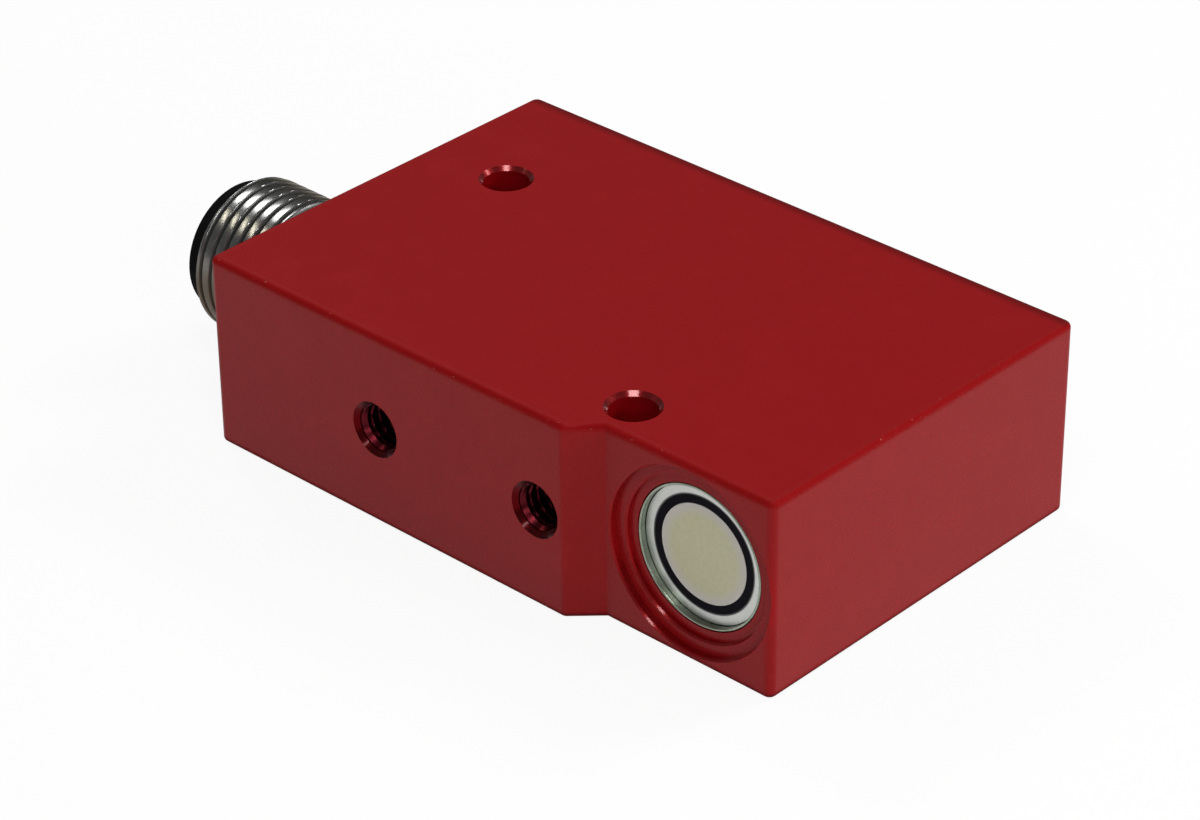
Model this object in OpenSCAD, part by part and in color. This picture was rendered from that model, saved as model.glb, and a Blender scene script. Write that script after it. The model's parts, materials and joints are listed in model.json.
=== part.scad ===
// Block-shaped ultrasonic distance sensor with a round threaded plug.
// It lies on its cover. X runs from the plug to the transducer end, Y from the
// transducer's side to the rear side, and Z points up from the underside.

/* [Block] */
// Length of the block
body_l = 50; // [49:0.5:70]
// Width of the block
body_w = 33; // [30:0.5:50]
// Height of the block
body_h = 15; // [13.5:0.5:16.5]
// Radius along the edges of the top and the underside
edge_r = 0.4; // [0.1:0.1:0.5]
// Radius of the upright corners
corner_r = 0.6; // [0.6:0.1:1.2]
// Length of the end that is set back for the transducer, with its slope
step_l = 16.4; // [16.2:0.1:17.5]
// How far that end is set back
step_d = 2; // [1.5:0.25:2.5]
// Length of the slope that leads to it
slope_l = 2.1; // [1:0.1:2.3]

/* [Mounting holes] */
// Diameter of the two holes through the block
hole_d = 3.4; // [2.5:0.1:3.6]
// Chamfer at both mouths of these holes
hole_chamfer = 0.3; // [0.1:0.1:0.5]
// First hole, from the plug end
hole_a_x = 7.4; // [5:0.1:8]
// First hole, from the transducer's side
hole_a_y = 22.1; // [21:0.1:27]
// Wall between the second hole and the transducer's bore
hole_b_wall = 0.45; // [0.3:0.05:0.7]
// Second hole, from the transducer's side
hole_b_y = 5; // [4.5:0.1:5.5]

/* [Side threads] */
// Mean diameter of the thread in the two blind holes
side_hole_d = 3.55; // [2.4:0.05:3.6]
// Diameter of their countersunk mouths
side_mouth_d = 4.2; // [3.8:0.1:5]
// Length of their straight wall
side_hole_depth = 6; // [3:0.5:6.5]
// First hole, from the plug end
side_hole_x = 16.1; // [12:0.1:16.2]
// Wall between the other one and the second mounting hole
side_hole_wall = 0.825; // [0.5:0.025:2]

/* [Pocket and cover] */
// Roof over the pocket
roof_t = 1.5; // [1.2:0.1:1.6]
// Wall between the pocket and the rear side
rear_wall = 2.4; // [2.2:0.1:4]
// Wall between the pocket and the transducer end
end_wall = 2.7; // [2.4:0.1:3]
// Front of the pocket, from the transducer's side
pocket_y = 9.5; // [9.5:0.1:10]
// Start of the pocket, from the plug end
pocket_x = 11.7; // [11.7:0.1:12.5]
// Radius in the pocket's corners
pocket_r = 1.5; // [1:0.25:2]
// Thickness of the cover
cover_t = 1.2; // [1.1:0.05:1.25]
// Thickness of the gasket on the cover
gasket_t = 0.3; // [0.2:0.05:0.35]
// Width of the seat around the pocket
seat_w = 1.2; // [0.8:0.1:1.3]
// Radius of the four corner posts that take the cover's screws
post_r = 2.2; // [2:0.1:2.4]
// Distance from the pocket's walls to the posts' axes
post_inset = 1.8; // [1.6:0.1:2]
// Thread diameter of the cover's and the board's screws
screw_d = 1.6; // [1.4:0.1:1.8]
// Head diameter of these screws
screw_head_d = 3; // [2.8:0.1:3.2]
// Length of the cover's screws
screw_l = 5; // [4:0.5:8]

/* [Plug] */
// Length of the plug in front of the block
plug_l = 9.8; // [8.5:0.1:14]
// Outer diameter of the plug's thread
plug_d = 11.8; // [11.6:0.1:12]
// Axis of the plug, from the transducer's side
plug_y = 11.5; // [10.5:0.1:12]
// Length of the insert's rim in front of the shell
rim_l = 0.9; // [0.4:0.1:1.2]
// Diameter of that rim
rim_d = 10.1; // [9.6:0.1:10.3]
// Chamfer at the shell's open end
shell_chamfer = 0.8; // [0.3:0.1:1]
// Pitch of the shell's thread
thread_pitch = 1; // [0.8:0.1:1.2]
// Depth of its grooves
thread_depth = 0.5; // [0.3:0.05:0.5]
// Inner diameter of the shell
shell_bore_d = 9.7; // [9.4:0.1:9.9]
// Length of the undercut between thread and flange
neck_l = 1.2; // [0.6:0.1:2]
// Diameter of the undercut
neck_d = 10.8; // [10.6:0.1:11.2]
// How much wider the flange is on each side, which is let into the block
flange_w = 0.5; // [0.4:0.05:0.8]
// Thickness of the flange
flange_t = 0.9; // [0.6:0.1:1.2]
// Thickness of the seal behind the flange
plug_seal_t = 0.7; // [0.5:0.1:1]
// Depth of the shell's seat in the block
plug_seat = 6.5; // [5:0.1:7]
// Diameter of the hole from the plug into the pocket
wire_hole_d = 9.2; // [8:0.1:9.2]
// Diameter of the hollow in the insert
socket_d = 8.6; // [8.2:0.1:8.8]
// Depth of the hollow in the insert
socket_depth = 7.5; // [5:0.5:8]
// Diameter of the contact pins
pin_d = 1; // [0.8:0.1:1.1]
// Diameter of the circle on which the pins stand
pin_circle_d = 5; // [4.6:0.1:5.2]
// Distance from the rim to the pins' tips
pin_setback = 1.1; // [0.5:0.1:2]
// Length of the pins behind the insert
pin_tail = 2.5; // [1.5:0.1:2.8]
// Width of the coding rib
rib_w = 0.9; // [0.6:0.1:1.2]
// Height of the coding rib
rib_h = 0.6; // [0.3:0.1:0.8]

/* [Transducer] */
// Distance from the recess to the transducer end
end_margin = 0.2; // [0.15:0.05:0.4]
// Height of the face above and below the recess
recess_margin = 0.6; // [0.55:0.05:0.9]
// Depth of the outer step
recess_a_depth = 0.6; // [0.3:0.05:0.6]
// Width of the ledge at the foot of the outer step
ledge_a_w = 0.9; // [0.5:0.05:1]
// Depth of the inner step
recess_b_depth = 1; // [0.7:0.05:1]
// Width of the ledge at the foot of the inner step
ledge_b_w = 0.7; // [0.6:0.05:1]
// Wall of the sleeve
sleeve_wall = 0.2; // [0.15:0.05:0.3]
// Depth of the transducer's face
face_depth = 1.5; // [1.2:0.1:2]
// Start of the wider seat for the sleeve's flange, from the face of the block
lock_seat = 5.2; // [5:0.1:5.5]
// How much wider that seat is on each side
lock_seat_w = 0.45; // [0.3:0.05:0.5]
// Thickness of the flat seal in front of the sleeve's flange
sleeve_seal_t = 0.4; // [0.3:0.1:0.6]
// Thickness of the sleeve's flange
sleeve_flange_t = 0.7; // [0.5:0.1:0.8]
// Length of the bright ring at the transducer's face
face_ring_l = 2; // [1:0.1:2.5]
// Width of the bright ring
face_ring_w = 0.78; // [0.6:0.02:1]
// Width of the dark ring
dark_ring_w = 0.62; // [0.4:0.02:0.8]
// Length of the dark ring
dark_ring_l = 3.5; // [3.3:0.1:3.6]
// Thickness of the matching layer
disc_t = 1.7; // [1.2:0.1:2]
// How much smaller the piezo disc is on each side
piezo_margin = 0.15; // [0.1:0.05:0.5]
// Thickness of the piezo disc
piezo_t = 1.2; // [0.8:0.1:1.3]
// Thickness of the foam behind the dark ring
foam_t = 2; // [1.8:0.1:2.2]
// Thickness of the transducer's terminal board
terminal_t = 0.8; // [0.6:0.1:1]

/* [Electronics] */
// Thickness of the circuit board
board_t = 1; // [0.8:0.2:1.6]
// Gap between the board and the pocket's walls
board_gap = 0.5; // [0.3:0.1:0.8]
// Gap between the board's front edge and the front of the pocket
board_front_gap = 1.8; // [1.6:0.1:2.5]
// Radius of the two pillars that carry the board
pillar_r = 1.8; // [1.5:0.1:2.2]
// Distance from the board's ends to the pillars' axes
pillar_inset = 4.6; // [4:0.1:5]
// Diameter of the wires
wire_d = 0.6; // [0.4:0.1:0.8]
// Side length of the controller
controller_w = 7; // [5:0.5:8]
// Diameter of the transformer
transformer_d = 8; // [6:0.5:9]
// Height of the transformer
transformer_h = 4.2; // [3:0.2:4.4]
// Diameter of the capacitor
capacitor_d = 5; // [4:0.5:6]
// Length of the capacitor
capacitor_l = 4.4; // [3:0.2:4.6]

/* [Hidden] */

$fn = 64;
// Clearance between pieces that slide into each other, on each side
fit = 0.05;
// Clearance between the cover and its rebate, on each side
cover_fit = 0.1;
// How far a cutter runs past the surface that it opens
cut = 1;
// Steps in each rounded edge and corner of the block
arc_steps = 5;
// Break on the edges of the transducer's recess
recess_break = 0.12;
// Point angle of the drill that made the blind holes
drill_angle = 118;
// Depth of the cover's screw heads below its face
head_sunk = 0.1;
// Width and depth of the six-sided sockets in these heads
key_w = 1.25;
key_depth = 0.6;
// Width of the spanner slots in the lock ring
slot_w = 1.2;
// Distance from the transducer's axis to each of its leads
lead_spread = 2;
// Thickness of the chips' legs, their reach and their length under the body
leg_t = 0.3;
leg_out = 0.7;
leg_in = 0.2;
// Distance between the controller's legs
controller_pitch = 0.8;
// Width, depth and height of the amplifier, and the distance between its legs
amplifier_size = [5, 3.9, 1.5];
amplifier_pitch = 1.27;
// Width, depth and height of the regulator, and the distance between its legs
regulator_size = [6, 3.5, 1.6];
regulator_pitch = 2.3;
// Height of the controller
controller_h = 1.2;
// Distance from the board's edges to the parts that stand near them
edge_gap = 1.2;
// Waist of the transformer's winding as a share of its diameter
waist_share = 0.78;
// Height of the capacitor's foot, and of the groove above it
foot_h = 0.5;
groove_h = 0.5;
// Width, depth and height of the small components, and the distance between them
component_size = [1.6, 0.8, 0.6];
component_pitch = 2.4;

mid_z = body_h / 2;
step_x = body_l - step_l;
slope_end = step_x + slope_l;
flange_d = plug_d + 2 * flange_w;
recess_a_d = body_h - 2 * recess_margin;
recess_b_d = recess_a_d - 2 * ledge_a_w;
sleeve_d = recess_b_d - 2 * ledge_b_w;
lock_seat_d = sleeve_d + 2 * lock_seat_w;
transducer_x = body_l - end_margin - recess_a_d / 2;
hole_b_x = transducer_x - sleeve_d / 2 - fit - hole_b_wall - hole_d / 2;
side_hole_b_x = hole_b_x - hole_d / 2 - side_hole_wall - side_hole_d / 2;
pocket_end = body_l - end_wall;
pocket_rear = body_w - rear_wall;
seat_z = cover_t + gasket_t;
roof_z = body_h - roof_t;

shell_r = plug_d / 2;
shell_open = rim_l - plug_l;
seat_r = neck_d / 2;
thread_start = shell_open + shell_chamfer;
thread_end = -neck_l - (shell_r - neck_d / 2);
groove_w = 2 * thread_depth * tan(30);
crest_w = thread_pitch - groove_w;
groove_count = floor((thread_end - thread_start - crest_w / 2) / thread_pitch);
sleeve_r = sleeve_d / 2;
sleeve_bore_r = sleeve_r - sleeve_wall;
seal_depth = lock_seat;
flange_depth = seal_depth + sleeve_seal_t;
lock_depth = flange_depth + sleeve_flange_t;
lock_end = pocket_y - step_d;
lock_bore_r = sleeve_bore_r;
dark_ring_d = 2 * (sleeve_bore_r - fit - face_ring_w);
disc_d = dark_ring_d - 2 * dark_ring_w;
piezo_d = disc_d - 2 * piezo_margin;
foam_depth = face_depth + dark_ring_l;
terminal_depth = foam_depth + foam_t;
terminal_r = lock_bore_r - fit;

board_x = pocket_x + board_gap;
board_end = pocket_end - board_gap;
board_y = pocket_y + board_front_gap;
board_rear = pocket_rear - board_gap;
board_z = mid_z - board_t / 2;
board_top = mid_z + board_t / 2;
board_middle = (board_x + board_end) / 2;
pillar_y = (board_y + board_rear) / 2;
pillars = [board_x + pillar_inset, board_end - pillar_inset];
countersink_h = (screw_head_d - screw_d) / 2 + fit + head_sunk;
bend_r = wire_d * 0.55;

posts = [for (x = [pocket_x + post_inset, pocket_end - post_inset])
         for (y = [pocket_y + post_inset, pocket_rear - post_inset]) [x, y]];
pin_angles = [45, 135, 225, 315];

// Block in its own corner, placed so that the whole sensor is centred over the origin
module on_block() translate([(plug_l - body_l) / 2, -body_w / 2, 0]) children();

// Turns a revolved piece so that its axis runs into the set-back face
module into_face(depth = 0)
    on_block() translate([transducer_x, step_d + depth, mid_z]) rotate([-90, 0, 0]) children();

// Turns a revolved piece so that its axis runs from the plug end into the block
module into_end(depth = 0)
    on_block() translate([depth, plug_y, mid_z]) rotate([0, 90, 0]) children();

module ring(outer_r, inner_r, h) difference() {
    cylinder(h = h, r = outer_r);
    translate([0, 0, -cut]) cylinder(h = h + 2 * cut, r = inner_r);
}

// Flat shape with round corners
module rounded_plate(low, high, r) {
    translate([low.x + r, low.y]) square([high.x - low.x - 2 * r, high.y - low.y]);
    translate([low.x, low.y + r]) square([high.x - low.x, high.y - low.y - 2 * r]);
    for (x = [low.x + r, high.x - r])
        for (y = [low.y + r, high.y - r])
            translate([x, y]) circle(r = r);
}

// Inward normal of the side from p to q, with the outline running anticlockwise
function inward(p, q) = [p.y - q.y, q.x - p.x] / norm(q - p);

// Rounded outer corner of the outline, moved inwards by inset
function outer_corner(p, n1, n2, inset) =
    let (centre = p + corner_r * (n1 + n2) / (1 + n1 * n2),
         start = atan2(-n1.y, -n1.x),
         turn = acos(min(1, n1 * n2)))
    [for (i = [0:arc_steps])
        let (a = start + turn * i / arc_steps)
        centre + (corner_r - inset) * [cos(a), sin(a)]];

// Sharp inner corner of the outline, moved inwards by inset
function inner_corner(p, n1, n2, inset) = [p + inset * (n1 + n2) / (1 + n1 * n2)];

// Plan of the block with its set-back end, moved inwards by inset
function block_outline(inset) =
    let (p = [[0, 0], [step_x, 0], [slope_end, step_d], [body_l, step_d], [body_l, body_w], [0, body_w]],
         n = [for (i = [0:5]) inward(p[i], p[(i + 1) % 6])])
    [for (i = [0:5])
        let (before = n[(i + 5) % 6], after = n[i])
        each (i == 2 ? inner_corner(p[i], before, after, inset)
                     : outer_corner(p[i], before, after, inset))];

// Each level of the block's skin as its inset and its height
block_levels = concat(
    [for (i = [0:arc_steps]) let (a = 90 * i / arc_steps) edge_r * [1 - sin(a), 1 - cos(a)]],
    [for (i = [arc_steps:-1:0]) let (a = 90 * i / arc_steps)
        [edge_r * (1 - sin(a)), body_h - edge_r * (1 - cos(a))]]);

// Place of the inner corner in the outline, after two outer corners. Both flat ends of the
// block start there, because that corner sees the whole outline
inner_index = 2 * (arc_steps + 1);

// Block with its edges and corners rounded, lofted through its levels
module rounded_block() {
    rings = [for (level = block_levels) [for (p = block_outline(level[0])) [p.x, p.y, level[1]]]];
    n = len(rings[0]);
    top = len(rings) - 1;
    sides = [for (k = [0:top - 1]) for (i = [0:n - 1])
        let (j = (i + 1) % n)
        [k * n + i, (k + 1) * n + i, (k + 1) * n + j, k * n + j]];
    caps = [[for (i = [0:n - 1]) (inner_index + i) % n],
            [for (i = [n:-1:1]) top * n + (inner_index + i) % n]];
    polyhedron(points = [for (r = rings) each r], faces = concat(caps, sides));
}

// Plan of the pocket, with the posts left standing in its corners
module pocket_plan() difference() {
    rounded_plate([pocket_x, pocket_y], [pocket_end, pocket_rear], pocket_r);
    for (p = posts) translate(p) circle(r = post_r);
}

// Plan of the cover's rebate, or of what lies in it when it is made smaller by gap
module seat_plan(gap = 0)
    rounded_plate([pocket_x - seat_w + gap, pocket_y - seat_w + gap],
                  [pocket_end + seat_w - gap, pocket_rear + seat_w - gap], pocket_r + seat_w - gap);

// Hole through the block with a chamfer at each mouth
module through_hole(x, y) translate([x, y, 0]) {
    translate([0, 0, -cut]) cylinder(h = body_h + 2 * cut, d = hole_d);
    for (side = [0, 1])
        translate([0, 0, side * body_h]) mirror([0, 0, side]) translate([0, 0, -cut])
            cylinder(h = hole_chamfer + cut, r1 = hole_d / 2 + hole_chamfer + cut, r2 = hole_d / 2);
}

// Blind tapped hole from the transducer's side, with its countersink and drill point
module side_hole(x) translate([x, 0, mid_z]) rotate([-90, 0, 0]) {
    sink = (side_mouth_d - side_hole_d) / 2;
    translate([0, 0, -cut]) cylinder(h = side_hole_depth + cut, d = side_hole_d);
    translate([0, 0, -cut])
        cylinder(h = sink + cut, r1 = side_mouth_d / 2 + cut, r2 = side_hole_d / 2);
    translate([0, 0, side_hole_depth])
        cylinder(h = side_hole_d / 2 / tan(drill_angle / 2), r1 = side_hole_d / 2, r2 = 0);
}

// One step of the recess round the transducer, with a broken edge
module recess_step(d, from, to) {
    translate([0, 0, from - cut]) cylinder(h = to - from + cut, d = d);
    translate([0, 0, from - cut])
        cylinder(h = recess_break + cut, r1 = d / 2 + recess_break + cut, r2 = d / 2);
}

module housing() color([0.55, 0.13, 0.13]) {
    difference() {
        on_block() rounded_block();
        on_block() {
            translate([0, 0, -cut]) linear_extrude(roof_z + cut) pocket_plan();
            translate([0, 0, -cut]) linear_extrude(seat_z + cut) seat_plan();
            for (p = posts)
                translate([p.x, p.y, 0]) cylinder(h = cover_t + screw_l, d = screw_d + 2 * fit);
            through_hole(hole_a_x, hole_a_y);
            through_hole(hole_b_x, hole_b_y);
            side_hole(side_hole_x);
            side_hole(side_hole_b_x);
        }
        into_face() {
            recess_step(recess_a_d, 0, recess_a_depth);
            recess_step(recess_b_d, recess_a_depth, recess_b_depth);
            cylinder(h = lock_seat + cut, r = sleeve_r + fit);
            translate([0, 0, lock_seat]) cylinder(h = lock_end - lock_seat + cut, d = lock_seat_d);
        }
        into_end() {
            translate([0, 0, -cut]) cylinder(h = cut + flange_t + plug_seal_t, d = flange_d + 2 * fit);
            cylinder(h = plug_seat, r = seat_r + fit);
            cylinder(h = pocket_x + post_r, d = wire_hole_d);
        }
    }
    on_block() for (x = pillars) translate([x, pillar_y, board_top]) difference() {
        cylinder(h = roof_z - board_top + roof_t / 2, r = pillar_r);
        translate([0, 0, -cut]) cylinder(h = screw_l + cut, d = screw_d + 2 * fit);
    }
}

module bottom_cover() color([0.5, 0.11, 0.11]) on_block() difference() {
    linear_extrude(cover_t) seat_plan(cover_fit);
    for (p = posts) translate([p.x, p.y, -cut]) {
        cylinder(h = cover_t + 2 * cut, d = screw_d + 4 * fit);
        cylinder(h = cut + countersink_h, r1 = screw_d / 2 + countersink_h + cut, r2 = screw_d / 2);
    }
}

module cover_gasket() color([0.12, 0.12, 0.13]) on_block()
    translate([0, 0, cover_t]) linear_extrude(gasket_t) difference() {
        seat_plan(cover_fit);
        pocket_plan();
        for (p = posts) translate(p) circle(d = screw_d + 4 * fit);
    }

// Screw with a flat countersunk head and a six-sided socket, its head at the origin
module countersunk_screw() difference() {
    union() {
        cylinder(h = (screw_head_d - screw_d) / 2, d1 = screw_head_d, d2 = screw_d);
        cylinder(h = screw_l, d = screw_d);
    }
    translate([0, 0, -cut]) cylinder(h = cut + key_depth, d = key_w, $fn = 6);
}

module cover_screws() color([0.62, 0.62, 0.64]) on_block()
    for (p = posts) translate([p.x, p.y, head_sunk]) countersunk_screw();

// Grooves of the thread as rings, each after the crest before it, with sides at 60 degrees
function thread_outline() = [for (i = [0:groove_count - 1])
    let (z = thread_start + i * thread_pitch + crest_w)
    each [[shell_r, z], [shell_r - thread_depth, z + groove_w / 2], [shell_r, z + groove_w]]];

// Outline of the plug's shell from its open end to its seat, as radius and distance
function shell_outline() = concat(
    [[shell_bore_d / 2, shell_open], [shell_r - shell_chamfer, shell_open], [shell_r, thread_start]],
    thread_outline(),
    [[shell_r, thread_end], [neck_d / 2, -neck_l], [neck_d / 2, 0],
     [flange_d / 2, 0], [flange_d / 2, flange_t], [seat_r, flange_t],
     [seat_r, plug_seat], [shell_bore_d / 2, plug_seat]]);

module connector_shell() color([0.66, 0.66, 0.64]) into_end()
    rotate_extrude() polygon(shell_outline());

module connector_insert() color([0.08, 0.08, 0.09]) into_end() {
    core_r = shell_bore_d / 2 - fit;
    difference() {
        union() {
            translate([0, 0, -plug_l]) cylinder(h = plug_l + plug_seat, r = core_r);
            translate([0, 0, -plug_l]) cylinder(h = rim_l, d = rim_d);
        }
        translate([0, 0, -plug_l - cut]) cylinder(h = socket_depth + cut, d = socket_d);
        for (a = pin_angles) rotate(a) translate([pin_circle_d / 2, 0, -plug_l])
            cylinder(h = plug_l + plug_seat + cut, d = pin_d + 2 * fit);
    }
    rib_r = socket_d / 2;
    translate([-rib_r - 2 * fit, -rib_w / 2, -plug_l])
        cube([rib_h + 2 * fit, rib_w, socket_depth + fit]);
}

// Round pins with pointed tips, which reach through the insert to the wires
module contact_pins() color([0.83, 0.68, 0.35]) into_end()
    for (a = pin_angles) rotate(a) translate([pin_circle_d / 2, 0, -plug_l + pin_setback]) {
        tip = pin_d / 3;
        translate([0, 0, tip]) cylinder(h = plug_l - pin_setback - tip + plug_seat + pin_tail, d = pin_d);
        cylinder(h = tip, d1 = pin_d / 2, d2 = pin_d);
    }

module connector_seal() color([0.1, 0.1, 0.11]) into_end(flange_t)
    ring(flange_d / 2, seat_r + fit, plug_seal_t);

// Wire along a list of points, with eight sides and slightly thicker bends
module wire(points) {
    $fn = 8;
    for (i = [0:len(points) - 2]) {
        run = points[i + 1] - points[i];
        translate(points[i])
            rotate([0, acos(run.z / norm(run)), atan2(run.y, run.x)]) cylinder(h = norm(run), d = wire_d);
    }
    for (p = points) translate(p) sphere(r = bend_r);
}

// Each wire runs from the end of its pin, past the corner post, to the face of the
// board on its own side
module connector_wires() color([0.55, 0.3, 0.15]) on_block()
    for (side = [-1, 1]) for (row = [0, 1]) {
        offset = pin_circle_d / 2 * sin(45);
        spread = row * 2 * wire_d;
        past_post = [posts[0].x + post_r, posts[0].y + post_r] + [bend_r, 2 * bend_r + fit];
        wire([[plug_seat + pin_tail + bend_r, plug_y + (2 * row - 1) * offset, mid_z + side * offset],
              [pocket_x + bend_r, past_post.y + spread, mid_z + side * offset],
              [past_post.x + spread, past_post.y + spread, mid_z + side * (board_t / 2 + bend_r)]]);
    }

module transducer_sleeve() color([0.6, 0.6, 0.58]) into_face() {
    translate([0, 0, recess_b_depth]) ring(sleeve_r, sleeve_bore_r, lock_depth - recess_b_depth);
    translate([0, 0, flange_depth]) ring(lock_seat_d / 2 - fit, sleeve_bore_r, sleeve_flange_t);
}

module sleeve_seal() color([0.1, 0.1, 0.11]) into_face(seal_depth)
    ring(lock_seat_d / 2 - fit, sleeve_r + fit, sleeve_seal_t);

// Threaded ring with two slots for its spanner
module lock_ring() color([0.7, 0.62, 0.4]) into_face(lock_depth) difference() {
    ring(lock_seat_d / 2 - fit, lock_bore_r, lock_end - lock_depth);
    translate([-lock_seat_d, -slot_w / 2, (lock_end - lock_depth) / 2])
        cube([2 * lock_seat_d, slot_w, lock_end]);
}

module face_ring() color([0.72, 0.72, 0.69]) into_face(face_depth)
    ring(sleeve_bore_r - fit, dark_ring_d / 2, face_ring_l);

module decoupling_ring() color([0.07, 0.07, 0.08]) into_face(face_depth)
    ring(dark_ring_d / 2 - fit / 2, disc_d / 2 + fit / 2, dark_ring_l);

module matching_layer() color([0.8, 0.79, 0.64]) into_face(face_depth)
    cylinder(h = disc_t, d = disc_d);

module piezo_disc() color([0.75, 0.74, 0.68]) into_face(face_depth + disc_t)
    cylinder(h = piezo_t, d = piezo_d);

// Foam that fills the sleeve behind the rings, with a plug that presses on the piezo disc
module damping_foam() color([0.35, 0.35, 0.37]) into_face() {
    piezo_back = face_depth + disc_t + piezo_t;
    translate([0, 0, foam_depth]) cylinder(h = foam_t, r = terminal_r);
    translate([0, 0, piezo_back]) cylinder(h = foam_depth - piezo_back, d = piezo_d);
    translate([0, 0, face_depth + face_ring_l])
        ring(terminal_r, dark_ring_d / 2, dark_ring_l - face_ring_l);
}

module terminal_board() color([0.15, 0.4, 0.25]) into_face(terminal_depth)
    cylinder(h = terminal_t, r = terminal_r);

// Two leads from the terminal board to the upper and lower faces of the circuit board
module transducer_leads() color([0.75, 0.72, 0.68]) on_block()
    for (side = [-1, 1]) {
        lead_x = posts[2].x - post_r - 2 * bend_r;
        start = [lead_x, step_d + terminal_depth + terminal_t + bend_r, mid_z + side * lead_spread];
        wire([start, start + [0, wire_d, 0],
              [lead_x, board_y + edge_gap, mid_z + side * (board_t / 2 + bend_r)]]);
    }

module circuit_board() color([0.12, 0.38, 0.24]) on_block() difference() {
    translate([board_x, board_y, board_z])
        cube([board_end - board_x, board_rear - board_y, board_t]);
    for (p = posts) translate([p.x, p.y, board_z - cut])
        cylinder(h = board_t + 2 * cut, r = post_r + board_gap);
    for (x = pillars) translate([x, pillar_y, board_z - cut])
        cylinder(h = board_t + 2 * cut, d = screw_d + 4 * fit);
}

// Pan-headed screws that hold the board on its pillars
module board_screws() color([0.68, 0.68, 0.7]) on_block()
    for (x = pillars) translate([x, pillar_y, board_z]) {
        translate([0, 0, -screw_d / 2]) cylinder(h = screw_d / 2, d = screw_head_d);
        cylinder(h = screw_l, d = screw_d);
    }

// Moulded chip on the upper face of the board, with legs along its front and rear
module chip(size, legs, pitch) {
    translate([-size.x / 2, -size.y / 2, leg_t / 2]) cube([size.x, size.y, size.z - leg_t / 2]);
    for (i = [0:legs - 1]) for (side = [0, 1])
        mirror([0, side, 0]) translate([(i - legs / 2 + 0.25) * pitch, size.y / 2 - leg_in, 0])
            cube([pitch / 2, leg_in + leg_out, leg_t]);
}

module controller_chip() color([0.13, 0.13, 0.14]) on_block()
    translate([pillars[0] + pillar_r + edge_gap + controller_w / 2,
               board_y + edge_gap + leg_out + controller_w / 2, board_top])
        chip([controller_w, controller_w, controller_h],
             floor(controller_w / controller_pitch), controller_pitch);

module amplifier_chip() color([0.14, 0.14, 0.15]) on_block()
    translate([pillars[1] - pillar_r - edge_gap - amplifier_size.x / 2,
               board_y + edge_gap + leg_out + amplifier_size.y / 2, board_top])
        chip(amplifier_size, 4, amplifier_pitch);

module voltage_regulator() color([0.12, 0.12, 0.13]) on_block()
    translate([pillars[1] - pillar_r - edge_gap - regulator_size.x / 2,
               board_rear - edge_gap - leg_out - regulator_size.y / 2, board_top])
        chip(regulator_size, 3, regulator_pitch);

// Round ferrite core with a foot and a wound waist
module drive_transformer() color([0.24, 0.23, 0.25]) on_block()
    translate([board_middle, board_rear - transformer_d / 2 - edge_gap, board_z]) mirror([0, 0, 1]) {
        lip = transformer_h / 5;
        cylinder(h = lip, d = transformer_d);
        cylinder(h = transformer_h, d = transformer_d * waist_share);
        translate([0, 0, transformer_h - lip]) cylinder(h = lip, d = transformer_d);
    }

// Upright can on the lower face of the board, with the crimped groove near its foot
module storage_capacitor() color([0.6, 0.61, 0.63]) on_block()
    translate([pillars[1] - (screw_head_d + capacitor_d) / 2 - edge_gap,
               board_y + 2 * edge_gap + capacitor_d / 2, board_z])
        mirror([0, 0, 1]) {
            translate([-capacitor_d / 2, -capacitor_d / 2, 0]) cube([capacitor_d, capacitor_d, foot_h]);
            cylinder(h = capacitor_l, d = capacitor_d - 2 * groove_h);
            translate([0, 0, foot_h + groove_h])
                cylinder(h = capacitor_l - foot_h - groove_h, d = capacitor_d - groove_h / 2);
        }

// Row of small components from a point, on the face of the board that looks to side
module component_row(x, y, count, side) for (i = [0:count - 1])
    translate([x + i * component_pitch, y, mid_z]) mirror([0, 0, side < 0 ? 1 : 0])
        translate([0, 0, board_t / 2]) cube(component_size);

module small_components() color([0.55, 0.5, 0.4]) on_block() {
    component_row(pillars[0] + 2 * edge_gap, board_y + edge_gap, 5, -1);
    component_row(pillars[0] + edge_gap, board_rear - 2 * edge_gap, 2, -1);
    component_row(pillars[0] + pillar_r + edge_gap, board_rear - 2 * edge_gap, 3, 1);
}

housing();
bottom_cover();
cover_gasket();
cover_screws();
connector_shell();
connector_insert();
contact_pins();
connector_seal();
connector_wires();
transducer_sleeve();
sleeve_seal();
lock_ring();
face_ring();
decoupling_ring();
matching_layer();
piezo_disc();
damping_foam();
terminal_board();
transducer_leads();
circuit_board();
board_screws();
controller_chip();
amplifier_chip();
voltage_regulator();
drive_transformer();
storage_capacitor();
small_components();
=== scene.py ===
import json
import math

import bmesh
import bpy
from mathutils import Matrix, Vector


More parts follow.
